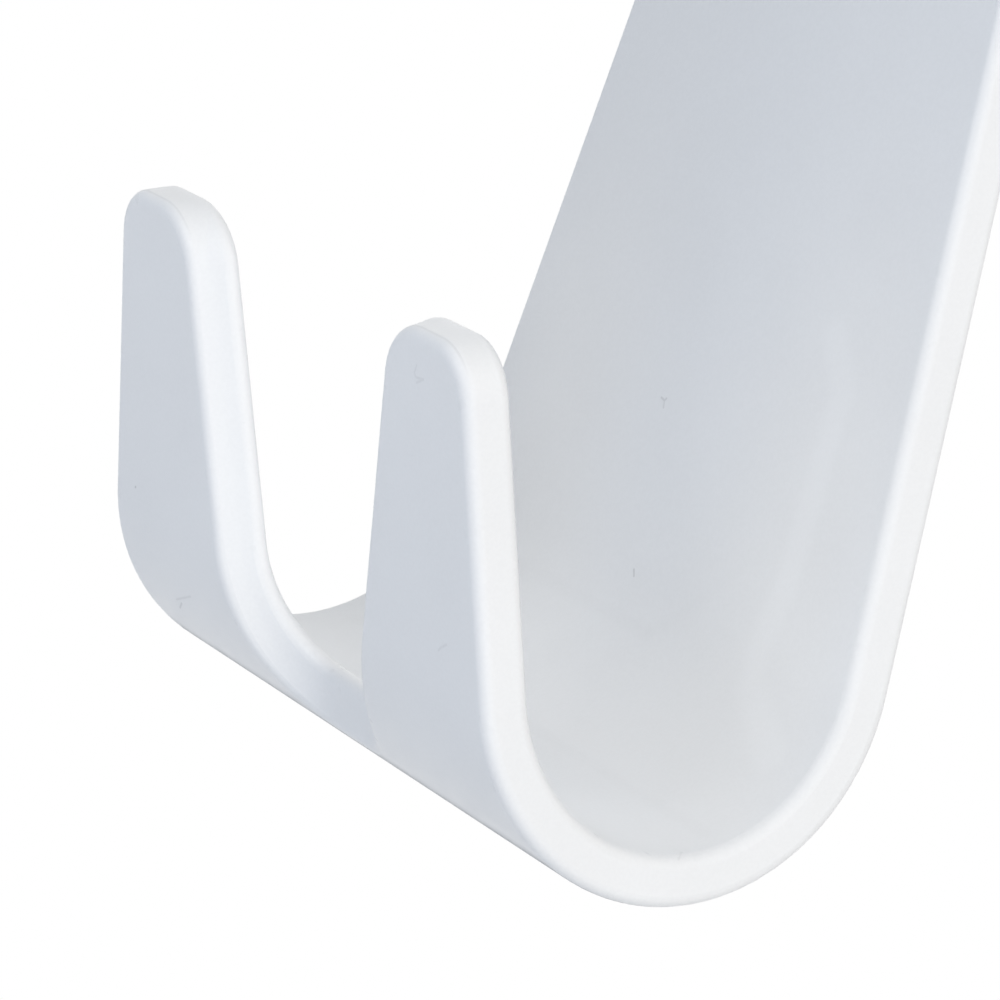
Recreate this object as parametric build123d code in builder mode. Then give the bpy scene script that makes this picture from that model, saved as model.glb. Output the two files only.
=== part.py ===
"""Double towel hook for a radiator, moulded in one piece of white plastic.

The frame: +Z up, +Y towards the radiator, X across the hook.
The origin is on the middle of the seat, the underside of the bridge that rests on the radiator's edge.
Millimetres.
"""
import os
from math import cos, radians, sin, sqrt, tan

from build123d import *

# Strap
wall = 3.4  # thickness of the moulded strap
bottom_width = 55.5  # width at the lowest point of the U
side_taper = 6.6  # degrees by which each side leans in towards the top
soft_edge = 0.8  # radius that the mould leaves along every edge
smooth_turn = 25  # degrees, faces that meet at less than this already run into each other

# U and prongs
leg_drop = 66.0  # from the seat down to the centre of the U
hook_radius = 12.4  # inside radius of the U
prong_lean = 18.6  # degrees by which the prongs lean forward
prong_length = 22.65  # straight length of a prong above the U
tip_wall_ratio = 1.3  # radius of a tip's round beside the slot, in walls, so that it stays in the wall
tip_outer_share = 0.6  # share of a tip's end, beside its inner round, that the outer round takes

# Slot between the prongs, a scooped groove along the prongs that runs out through the U
slot_width = 21.0  # where the straight prongs begin
slot_flare = 10.4  # degrees by which each slot wall opens towards the tips
slot_scoop = 6.5  # radius between the slot's walls and its floor
slot_floor = 1.15  # depth of the slot's floor behind the inner face of the prongs
slot_runout = 1.0  # length of the groove below the place where its floor leaves the U

# Grip on the radiator
radiator_gap = 15.0  # room for the radiator's edge
seat_corner = 3.0  # inside corner radius at each end of the bridge
lip_length = 24.0  # from the seat down to the end of the rear lip
lip_round = 6.0  # corner radius of the rear lip's end

# Places in the side view, as (y, z)
top = wall
rear = radiator_gap / 2 + wall
leg_front = -rear
outer_corner = seat_corner + wall
bend_y = leg_front - hook_radius
bend_z = -leg_drop
bottom = bend_z - hook_radius - wall
lean_sin = sin(radians(prong_lean))
lean_cos = cos(radians(prong_lean))
prong_start = (bend_y - hook_radius * lean_cos, bend_z - hook_radius * lean_sin)
prong_tip = (prong_start[0] - prong_length * lean_sin, prong_start[1] + prong_length * lean_cos)
outer_tip = (prong_tip[0] - wall * lean_cos, prong_tip[1] - wall * lean_sin)
depth = wall - outer_tip[0]

# Half widths in the front view
half_bottom = bottom_width / 2
half_top = half_bottom - tan(radians(side_taper)) * (top - bottom)
half_tip = half_bottom - tan(radians(side_taper)) * (prong_tip[1] - bottom)

# Plane across a prong where it leaves the U: x across the hook, y into the U, z towards the tip
prong_plane = Plane(
    origin=(0, *prong_start),
    x_dir=(1, 0, 0),
    z_dir=(0, -lean_sin, lean_cos),
)
slot_reach_down = sqrt((hook_radius + wall) ** 2 - (hook_radius - slot_floor) ** 2) + slot_runout
slot_reach_up = prong_length + wall
slot_open = 2 * wall


def slot_half_width(along):
    """Half the slot's width at a distance along the prongs."""
    return slot_width / 2 + tan(radians(slot_flare)) * along


# Rounds of a tip: the outer one takes a share of what the inner one leaves
tip_width = half_tip - slot_half_width(prong_length)
tip_inner_round = tip_wall_ratio * wall
tip_inner_run = tip_inner_round * tan(radians(90 - slot_flare) / 2)
tip_outer_run = tip_outer_share * (tip_width - tip_inner_run)
tip_outer_round = tip_outer_run / tan(radians(90 - side_taper) / 2)


def along_prong(face):
    """How far a face looks along the prongs, 1 where it looks straight at their tips."""
    return face.normal_at().dot(prong_plane.z_dir)


def tip_corners(part):
    """The edges across the ends of both prongs, those beside the slot first."""
    ends = part.faces().sort_by(along_prong)[-2:]
    across = ends.edges().filter_by(Axis.X, reverse=True)
    return across.sort_by(lambda edge: abs(edge.center().X))


def sharp_edges(part):
    """Edges where two faces meet at more than a smooth run-out."""
    faces = part.faces()
    found = ShapeList()
    for edge in part.edges():
        sides = [face for face in faces if edge in face.edges()]
        middle = edge @ 0.5
        if len(sides) == 2:
            turn = sides[0].normal_at(middle).get_angle(sides[1].normal_at(middle))
            if turn > smooth_turn:
                found.append(edge)
    return found


def is_inside(edge):
    """Whether an edge borders the inside of the strap, the faces that look into the U."""
    middle = edge @ 0.5
    return inside_line.distance_to(Vector(middle.Y, middle.Z)) < wall / 2


# Groove that separates the prongs
with BuildPart() as groove:
    for along in (-slot_reach_down, slot_reach_up):
        with BuildSketch(prong_plane.offset(along)) as groove_section:
            with Locations((0, slot_floor)):
                Rectangle(
                    2 * slot_half_width(along),
                    slot_floor + wall + slot_open,
                    align=(Align.CENTER, Align.MAX),
                )
            fillet(groove_section.vertices().group_by(Axis.Y)[-1], slot_scoop)
    loft(ruled=True)

# The hook
with BuildPart() as towel_hook:
    with BuildSketch(Plane.YZ) as strap_section:
        with BuildLine() as strap_line:
            Line(prong_tip, prong_start)
            bend = CenterArc((bend_y, bend_z), hook_radius, 180 + prong_lean, 180 - prong_lean)
            Line(bend @ 1, (leg_front, top - outer_corner))
            front_bend = CenterArc(
                (leg_front + outer_corner, top - outer_corner), outer_corner, 180, -90
            )
            rear_bend = CenterArc((rear - outer_corner, top - outer_corner), outer_corner, 90, -90)
            Line(front_bend @ 1, rear_bend @ 0)
            Line(rear_bend @ 1, (rear, -lip_length))
            inside_line = strap_line.wires()[0]
            offset(amount=wall, side=Side.RIGHT)
        make_face()
    extrude(amount=half_bottom, both=True)

    with BuildSketch(Plane.XZ) as front_outline:
        Polygon(
            (-half_bottom, bottom),
            (half_bottom, bottom),
            (half_top, top),
            (-half_top, top),
            align=None,
        )
    extrude(amount=depth, both=True, mode=Mode.INTERSECT)
    add(groove.part, mode=Mode.SUBTRACT)

    # Rounded tips and rear lip
    fillet(tip_corners(towel_hook.part)[:2], tip_inner_round)
    fillet(tip_corners(towel_hook.part)[2:], tip_outer_round)
    lip_end = towel_hook.faces().filter_by(Axis.Z).sort_by(Axis.Y)[-1]
    fillet(lip_end.edges().filter_by(Axis.X, reverse=True), lip_round)

    # Soft edges, the outside of the strap first
    fillet(sharp_edges(towel_hook.part).filter_by(is_inside, reverse=True), soft_edge)
    fillet(sharp_edges(towel_hook.part).filter_by(is_inside), soft_edge)

towel_hook.part.label = "towel_hook"
os.makedirs("parts", exist_ok=True)
export_step(towel_hook.part, "parts/towel_hook.step")
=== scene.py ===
# %% [markdown]
# A radiator towel hook is one piece of white plastic. A flat strap hangs in front of the radiator, turns
# up in a U and ends in two prongs with a scooped slot between them. It came out of a mould in one shot,
# so the frame already holds its whole form, and this lesson is about the finish, the light and the
# camera. The frame is loaded and measured before anything is added.

# %% Load the frame
import math

import bpy
from mathutils import Matrix, Vector


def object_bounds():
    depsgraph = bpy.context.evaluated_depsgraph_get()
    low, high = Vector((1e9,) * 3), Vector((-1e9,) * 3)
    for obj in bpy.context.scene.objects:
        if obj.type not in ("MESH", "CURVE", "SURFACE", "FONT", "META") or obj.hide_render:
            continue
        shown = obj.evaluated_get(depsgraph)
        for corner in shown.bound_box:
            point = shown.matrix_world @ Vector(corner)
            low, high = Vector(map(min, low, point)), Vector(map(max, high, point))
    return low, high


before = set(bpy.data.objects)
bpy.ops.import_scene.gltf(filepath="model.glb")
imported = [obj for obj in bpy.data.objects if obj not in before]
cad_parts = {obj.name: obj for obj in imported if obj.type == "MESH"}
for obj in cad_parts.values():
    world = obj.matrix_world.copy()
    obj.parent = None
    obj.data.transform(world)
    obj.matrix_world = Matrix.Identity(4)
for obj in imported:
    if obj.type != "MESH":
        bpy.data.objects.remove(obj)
cad_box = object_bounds()
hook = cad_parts["towel_hook"]
print("hook box", [[round(v, 4) for v in corner] for corner in cad_box])

# %% [markdown]
# The photograph looks down a little from the front right, from close by, with a long lens. The camera's
# place was fitted to the outline of the hook: it meets the picture where a 180 mm lens on a 36 mm frame,
# about 35 cm from the hook and rolled by 16 degrees, puts it.

# %% Camera
camera_place = Vector((0.27884, -0.20835, -0.01325))
camera_aim = Vector((-0.01168, -0.01629, -0.06442))
camera_roll = math.radians(16.11)
lens_mm = 180.0
frame_mm = 36.0

camera_data = bpy.data.cameras.new("camera")
camera_data.lens = lens_mm
camera_data.sensor_width = frame_mm
camera = bpy.data.objects.new("camera", camera_data)
level = (camera_aim - camera_place).to_track_quat("-Z", "Y").to_matrix().to_4x4()
camera.matrix_world = Matrix.Translation(camera_place) @ level @ Matrix.Rotation(camera_roll, 4, "Z")
bpy.context.scene.collection.objects.link(camera)
bpy.context.scene.camera = camera
print("camera", round((camera_aim - camera_place).length, 3), "m from what it looks at")

# %% [markdown]
# The nodes of a material or a world are placed by a few short helpers. Each returns the socket that the
# next node takes, so a chain of nodes reads like a formula.

# %% Node helpers
def node(tree, kind, **settings):
    """A new node of a kind, with its settings."""
    made = tree.nodes.new(kind)
    for name, value in settings.items():
        setattr(made, name, value)
    return made


def put(tree, socket, value):
    """Give a socket a number, a colour or the output of another node."""
    if isinstance(value, bpy.types.NodeSocket):
        tree.links.new(value, socket)
    else:
        socket.default_value = value


def math_node(tree, operation, first, second=0.0, clamp=False):
    """One sum on two values."""
    made = node(tree, "ShaderNodeMath", operation=operation, use_clamp=clamp)
    put(tree, made.inputs[0], first)
    put(tree, made.inputs[1], second)
    return made.outputs[0]


def vector_node(tree, operation, first, second):
    """One sum on two vectors. A dot product or a distance comes out as a number."""
    made = node(tree, "ShaderNodeVectorMath", operation=operation)
    put(tree, made.inputs[0], first)
    put(tree, made.inputs[1], second)
    number = operation in ("DOT_PRODUCT", "DISTANCE")
    return made.outputs["Value"] if number else made.outputs["Vector"]


def scale_node(tree, vector, factor):
    """A vector or a colour made longer or shorter."""
    made = node(tree, "ShaderNodeVectorMath", operation="SCALE")
    put(tree, made.inputs[0], vector)
    put(tree, made.inputs["Scale"], factor)
    return made.outputs[0]


def ramp(tree, value, low, high, to_low=0.0, to_high=1.0):
    """A smooth step from one level to another."""
    made = node(tree, "ShaderNodeMapRange", interpolation_type="SMOOTHSTEP")
    put(tree, made.inputs["Value"], value)
    put(tree, made.inputs["From Min"], low)
    put(tree, made.inputs["From Max"], high)
    put(tree, made.inputs["To Min"], to_low)
    put(tree, made.inputs["To Max"], to_high)
    return made.outputs["Result"]


def mix_colour(tree, share, first, second):
    """One colour that turns into another."""
    made = node(tree, "ShaderNodeMix", data_type="RGBA")
    put(tree, made.inputs["Factor"], share)
    put(tree, made.inputs["A"], first)
    put(tree, made.inputs["B"], second)
    return made.outputs["Result"]


# %% [markdown]
# The studio is a white tent with a few soft panels of light. The strap's edge faces look to the right and
# are almost white, so strong panels stand there, high and low. A cooler panel high on the left reaches
# into the U, and a weak blue one low in front tints the prongs. Their levels were fitted to the
# photograph and then changed a little. One more, behind, was set for the side that the photograph doesn't
# show. Nothing shines from straight below. One formula adds the panels up by direction. The camera sees
# plain white behind the hook, and so do mirror-like and clear surfaces.

# %% Tent of soft panels
panels = {
    "right_high": {"aim": (1, 0, 1), "sharp": 3, "light": (0.905, 0.905, 0.905)},
    "right_back": {"aim": (0.71, 0.41, 0.57), "sharp": 8, "light": (1.46, 1.46, 1.46)},
    "right_low": {"aim": (0.785, -0.453, -0.423), "sharp": 8, "light": (2.77, 2.77, 2.77)},
    "left_high": {"aim": (-0.71, -0.41, 0.57), "sharp": 8, "light": (1.81, 1.89, 1.98)},
    "front_low": {"aim": (0, -0.906, -0.423), "sharp": 8, "light": (0.0, 0.18, 0.48)},
    "back": {"aim": (-0.42, 0.9, -0.1), "sharp": 6, "light": (0.85, 0.86, 0.87)},
}
white = (1, 1, 1, 1)

bpy.context.scene.view_settings.view_transform = "Standard"
world = bpy.data.worlds.new("tent")
world.use_nodes = True
tree = world.node_tree
tree.nodes.clear()
way = node(tree, "ShaderNodeTexCoord").outputs["Generated"]
tent = None
for panel in panels.values():
    facing = vector_node(tree, "DOT_PRODUCT", way, Vector(panel["aim"]).normalized())
    share = math_node(tree, "POWER", math_node(tree, "MAXIMUM", facing, 0.0), panel["sharp"])
    glow = scale_node(tree, panel["light"], share)
    tent = glow if tent is None else vector_node(tree, "ADD", tent, glow)
path = node(tree, "ShaderNodeLightPath")
seen = math_node(tree, "MAXIMUM", path.outputs["Is Camera Ray"], path.outputs["Is Glossy Ray"])
seen = math_node(tree, "MAXIMUM", seen, path.outputs["Is Transmission Ray"])
background = node(tree, "ShaderNodeBackground")
put(tree, background.inputs["Color"], mix_colour(tree, seen, tent, white))
put(tree, background.inputs["Strength"], 1.0)
output = node(tree, "ShaderNodeOutputWorld")
tree.links.new(background.outputs["Background"], output.inputs["Surface"])
bpy.context.scene.world = world
print("tent with", len(panels), "panels")

# %% [markdown]
# One small softbox stands close in front. Because it is near, its light falls off along the strap, and
# the lower part of the leg comes out brighter than the part above, as it does in the photograph.

# %% Front softbox
box_place = Vector((0.03, -0.20, 0.02))
box_aim = Vector((0, -0.02, -0.05))
box_size = 0.12
box_power = 0.0515

box_data = bpy.data.lights.new("front_softbox", "AREA")
box_data.size = box_size
box_data.energy = box_power
box = bpy.data.objects.new("front_softbox", box_data)
box_turn = (box_aim - box_place).to_track_quat("-Z", "Y").to_matrix().to_4x4()
box.matrix_world = Matrix.Translation(box_place) @ box_turn
bpy.context.scene.collection.objects.link(box)
print("softbox", box_power, "W,", round((box_aim - box_place).length, 2), "m away")

# %% [markdown]
# The hook hangs at the height of a radiator, so the floor is well below it and out of the picture. It is
# pale and plain, with a faint grain, and it takes the hook's shadow.

# %% Floor
floor_drop = 0.8
floor_half = 0.6
floor_grain = 60.0
floor_rough = 0.6
floor_dark = (0.80, 0.80, 0.80, 1)
floor_pale = (0.84, 0.84, 0.84, 1)

floor_mesh = bpy.data.meshes.new("floor")
floor_z = cad_box[0][2] - floor_drop
floor_corners = [
    (-floor_half, -floor_half, floor_z),
    (floor_half, -floor_half, floor_z),
    (floor_half, floor_half, floor_z),
    (-floor_half, floor_half, floor_z),
]
floor_mesh.from_pydata(floor_corners, [], [(0, 1, 2, 3)])
floor = bpy.data.objects.new("floor", floor_mesh)
bpy.context.scene.collection.objects.link(floor)

floor_paint = bpy.data.materials.new("pale_floor")
floor_paint.use_nodes = True
tree = floor_paint.node_tree
paint = tree.nodes["Principled BSDF"]
speckle = node(tree, "ShaderNodeTexNoise")
put(tree, speckle.inputs["Vector"], node(tree, "ShaderNodeTexCoord").outputs["Object"])
put(tree, speckle.inputs["Scale"], floor_grain)
floor_colour = mix_colour(tree, speckle.outputs["Fac"], floor_dark, floor_pale)
put(tree, paint.inputs["Base Color"], floor_colour)
put(tree, paint.inputs["Roughness"], floor_rough)
floor_mesh.materials.append(floor_paint)
print("floor", floor_drop, "m below the hook")

# %% [markdown]
# Close up, a few things show that a plain white would miss: dust fibres, faint painted shade lines across
# the U and a soft painted reflection streak. All of them are short strokes on the surface. A picture
# texture could hold them, but a stroke is only a line between two points, so a node group measures the
# distance to that line and turns it into a mask. It is full within the core and gone at the fade, both in
# millimetres.

# %% Stroke group
stroke = bpy.data.node_groups.new("stroke", "ShaderNodeTree")
for socket_name in ("Place", "Start", "End"):
    stroke.interface.new_socket(socket_name, in_out="INPUT", socket_type="NodeSocketVector")
for socket_name in ("Core", "Fade"):
    stroke.interface.new_socket(socket_name, in_out="INPUT", socket_type="NodeSocketFloat")
stroke.interface.new_socket("Mask", in_out="OUTPUT", socket_type="NodeSocketFloat")
entry = node(stroke, "NodeGroupInput").outputs
along = vector_node(stroke, "SUBTRACT", entry["End"], entry["Start"])
offset = vector_node(stroke, "SUBTRACT", entry["Place"], entry["Start"])
reach = vector_node(stroke, "DOT_PRODUCT", offset, along)
whole_length = vector_node(stroke, "DOT_PRODUCT", along, along)
share = math_node(stroke, "DIVIDE", reach, whole_length, clamp=True)
gap = vector_node(stroke, "DISTANCE", offset, scale_node(stroke, along, share))
leave = node(stroke, "NodeGroupOutput")
put(stroke, leave.inputs["Mask"], ramp(stroke, gap, entry["Core"], entry["Fade"], 1.0, 0.0))


def draw_stroke(tree, place, points, core, fade):
    """The mask of a stroke that runs through some points, all in millimetres."""
    whole = None
    for first, last in zip(points, points[1:]):
        piece = node(tree, "ShaderNodeGroup", node_tree=stroke)
        inputs = {"Place": place, "Start": first, "End": last, "Core": core, "Fade": fade}
        for socket_name, value in inputs.items():
            put(tree, piece.inputs[socket_name], value)
        mask = piece.outputs["Mask"]
        whole = mask if whole is None else math_node(tree, "MAXIMUM", whole, mask)
    return whole


print("stroke group with", len(stroke.nodes), "nodes")

# %% [markdown]
# The plastic is a clean white, semi-gloss, straight from the mould. Its colour drifts by about one part
# in a hundred, in clouds as large as a fingertip and in a fine grain. The same grain, and a softer
# waviness like the peel of an orange, also lift the surface by a few thousandths of a millimetre and
# change how sharply it mirrors. The photograph is too coarse to show them, so they are kept weak.

# %% White plastic, clouds and grain
mm_per_metre = 1000.0
cloud_mm = 9.0
peel_mm = 1.4
grain_mm = 0.22

plastic = bpy.data.materials.new("moulded_white_plastic")
plastic.use_nodes = True
tree = plastic.node_tree
shell = tree.nodes["Principled BSDF"]
place = scale_node(tree, node(tree, "ShaderNodeTexCoord").outputs["Object"], mm_per_metre)


def noise(tree, place, size_mm, detail=1.0):
    """Soft noise whose spots are about this large."""
    made = node(tree, "ShaderNodeTexNoise")
    put(tree, made.inputs["Vector"], place)
    put(tree, made.inputs["Scale"], 1.0 / size_mm)
    put(tree, made.inputs["Detail"], detail)
    return made.outputs["Fac"]


cloud = noise(tree, place, cloud_mm)
peel = noise(tree, place, peel_mm)
grain = noise(tree, place, grain_mm, 0.0)
shade = ramp(tree, cloud, 0.25, 0.75, 0.990, 1.008)
shade = math_node(tree, "MULTIPLY", shade, ramp(tree, grain, 0.2, 0.8, 0.991, 1.007))
print("clouds of", cloud_mm, "mm, peel of", peel_mm, "mm and grain of", grain_mm, "mm")

# %% [markdown]
# Hands and towels rub the edges of such a hook, so they are a little smoother and paler than the faces
# here. This is a guess too, and a weak one. The mask comes from short rays that look into the wall: in
# the middle of a face they run free, near an edge they come out again.

# %% Rubbed edges
rub_reach = 0.0012
rub_paler = 1.01

rub = node(tree, "ShaderNodeAmbientOcclusion", inside=True, only_local=True, samples=3)
put(tree, rub.inputs["Distance"], rub_reach)
rubbed = ramp(tree, rub.outputs["AO"], 0.55, 0.95, 1.0, 0.0)
shade = math_node(tree, "MULTIPLY", shade, ramp(tree, rubbed, 0.0, 1.0, 1.0, rub_paler))
print("edges rubbed within", rub_reach * mm_per_metre, "mm")

# %% [markdown]
# A hair-thin line shows at each tip, just behind the prongs' front face. It is taken for the place where
# the two halves of the mould met. The line lies at one depth below that face, so a sum of coordinates
# places it, and it is drawn only near the top of the prongs.

# %% Parting line
prong_lean = math.radians(18.6)
prong_face = 58.94
parting_depth = 0.56
parting_low = -34.4
parting_high = -32.9
parting_darker = 0.08

face_way = Vector((0, -math.cos(prong_lean), -math.sin(prong_lean)))
tip_way = Vector((0, -math.sin(prong_lean), math.cos(prong_lean)))
depth = math_node(tree, "SUBTRACT", prong_face, vector_node(tree, "DOT_PRODUCT", place, face_way))
height = vector_node(tree, "DOT_PRODUCT", place, tip_way)
off_line = math_node(tree, "ABSOLUTE", math_node(tree, "SUBTRACT", depth, parting_depth))
parting = ramp(tree, off_line, 0.03, 0.11, 1.0, 0.0)
parting = math_node(tree, "MULTIPLY", parting, ramp(tree, height, parting_low, parting_high))
shade = math_node(tree, "SUBTRACT", shade, math_node(tree, "MULTIPLY", parting, parting_darker))
print("parting line", parting_depth, "mm behind the prongs' front")

# %% [markdown]
# Faint lines cross the inside of the U, and a soft bright streak runs down the right of the leg, each one
# to four parts in a hundred darker or lighter. The lines are painted shade where the curve of the strap
# changes, and the streak is a painted reflection. Mirror rays see plain white in this tent, so the marks
# are in the colour, as strokes whose points are in millimetres.

# %% Painted reflection streak and shade lines
# Painted reflection: a soft bright streak down the right of the leg.
painted_reflection_points = [
    (13.4, -10.9, -45.0),
    (16.0, -10.9, -48.0),
    (16.1, -10.9, -61.5),
    (15.1, -10.9, -66.5),
    (16.0, -11.3, -69.0),
    (21.8, -12.4, -71.9),
]
# Painted shade: faint lines where the curve of the strap changes.
upper_shade_line = [(-24.0, -11.3, -69.1), (3.0, -11.3, -69.1)]
upper_shade_wing = [(3.0, -11.3, -69.1), (10.0, -10.9, -63.1)]
lower_shade_line = [(-24.0, -17.8, -77.1), (24.5, -17.8, -77.1)]
painted_light_traces = [
    {"points": painted_reflection_points, "core": 0.4, "fade": 1.9, "darker": -0.035},
    {"points": upper_shade_line, "core": 0.1, "fade": 0.9, "darker": 0.013},
    {"points": upper_shade_wing, "core": 0.1, "fade": 0.9, "darker": 0.007},
    {"points": lower_shade_line, "core": 0.1, "fade": 0.9, "darker": 0.013},
]
for trace in painted_light_traces:
    mask = draw_stroke(tree, place, trace["points"], trace["core"], trace["fade"])
    shade = math_node(tree, "SUBTRACT", shade, math_node(tree, "MULTIPLY", mask, trace["darker"]))
print(len(painted_light_traces), "painted_light_traces")

# %% [markdown]
# The leg is darker towards its upper left, and the underside of the U ends in a dark rim. Both are
# painted shade, as the panels alone don't give them: the leg by where a point is, the underside by which
# way its face looks. Where the underside is shaded, it is also rougher.

# %% Painted shade on the leg and the underside
leg_shade_low = -56.0
leg_shade_high = -22.0
leg_shade_right = 22.0
leg_shade_left = -20.0
leg_shade_depth = 0.07
under_start = -0.84
under_full = -0.97
under_shade = 0.5

where = node(tree, "ShaderNodeSeparateXYZ")
put(tree, where.inputs["Vector"], place)
# Painted shade: the leg darkens towards its upper left.
upper = ramp(tree, where.outputs["Z"], leg_shade_low, leg_shade_high)
left = ramp(tree, where.outputs["X"], leg_shade_right, leg_shade_left)
shaded = math_node(tree, "MULTIPLY", upper, left)
shaded = math_node(tree, "MULTIPLY", shaded, ramp(tree, cloud, 0.2, 0.8, 0.85, 1.1))
shade = math_node(tree, "SUBTRACT", shade, math_node(tree, "MULTIPLY", shaded, leg_shade_depth))
# Painted shade: the underside of the U darkens, and is rougher, as its face turns down.
facing = node(tree, "ShaderNodeSeparateXYZ")
put(tree, facing.inputs["Vector"], node(tree, "ShaderNodeTexCoord").outputs["Normal"])
underside_shade = ramp(tree, facing.outputs["Z"], under_start, under_full)
underside_shade = math_node(tree, "MULTIPLY", underside_shade, ramp(tree, peel, 0.2, 0.7, 0.85, 1.0))
shade = math_node(tree, "MULTIPLY", shade, ramp(tree, underside_shade, 0.0, 1.0, 1.0, under_shade))
print("leg greyed by", leg_shade_depth, "and underside dulled to", under_shade)

# %% [markdown]
# A few bits of dust and fibres stick to the plastic, from a tenth of a millimetre to nearly four
# millimetres long. They are grey and dull. Each is a stroke with its own strength.

# %% Dust
dust_core = 0.03
dust_fade = 0.13
dust = [
    ([(18.15, -44.75, -51.81), (17.88, -44.58, -52.31), (18.01, -44.51, -52.52)], 0.07),
    ([(18.13, -44.50, -52.55), (19.03, -44.53, -52.45), (18.13, -44.39, -52.86)], 0.08),
    ([(-3.89, -10.9, -53.85), (-3.44, -10.9, -53.95), (-3.27, -10.9, -53.76)], 0.16),
    ([(-3.44, -10.9, -53.95), (-3.32, -10.9, -54.43)], 0.12),
    ([(-1.24, -10.9, -65.65), (-1.02, -10.9, -66.06)], 0.22),
    ([(-22.98, -38.52, -70.30), (-22.90, -38.54, -70.24)], 0.22),
    ([(20.72, -39.01, -68.85), (20.98, -39.09, -68.62), (21.76, -39.24, -68.17)], 0.07),
    ([(-20.15, -34.51, -77.13), (-19.09, -34.84, -76.79), (-16.67, -35.52, -76.01)], 0.09),
    ([(-19.33, -34.51, -77.14), (-20.55, -33.83, -77.78)], 0.14),
    ([(26.34, -20.52, -78.08), (27.09, -21.15, -78.37)], 0.07),
]
dirt = None
for points, darker in dust:
    mask = draw_stroke(tree, place, points, dust_core, dust_fade)
    mask = math_node(tree, "MULTIPLY", mask, darker)
    dirt = mask if dirt is None else math_node(tree, "MAXIMUM", dirt, mask)
shade = math_node(tree, "SUBTRACT", shade, dirt)
print(len(dust), "bits of dust")

# %% [markdown]
# The shader takes all of it at the end: the white times the shade, the mirror's sharpness from the peel,
# the rubbed edges and the dust, and the two heights as a bump.

# %% Plastic shader
plastic_white = (0.925, 0.93, 0.935)
rough_low = 0.30
rough_high = 0.40
rub_smoother = 0.05
underside_rougher = 0.5
peel_share = 0.8
grain_share = 0.2
bump_strength = 0.5
bump_metres = 0.00002

put(tree, shell.inputs["Base Color"], scale_node(tree, plastic_white, shade))
rough = ramp(tree, peel, 0.2, 0.8, rough_low, rough_high)
rough = math_node(tree, "SUBTRACT", rough, math_node(tree, "MULTIPLY", rubbed, rub_smoother))
rough = math_node(tree, "ADD", rough, dirt)
rougher = math_node(tree, "MULTIPLY", underside_shade, underside_rougher)
put(tree, shell.inputs["Roughness"], math_node(tree, "ADD", rough, rougher, clamp=True))
peel_lift = math_node(tree, "MULTIPLY", peel, peel_share)
grain_lift = math_node(tree, "MULTIPLY", grain, grain_share)
bump = node(tree, "ShaderNodeBump")
put(tree, bump.inputs["Height"], math_node(tree, "ADD", peel_lift, grain_lift))
put(tree, bump.inputs["Strength"], bump_strength)
put(tree, bump.inputs["Distance"], bump_metres)
put(tree, shell.inputs["Normal"], bump.outputs["Normal"])
hook.data.materials.clear()
hook.data.materials.append(plastic)
print("plastic with", len(tree.nodes), "nodes")
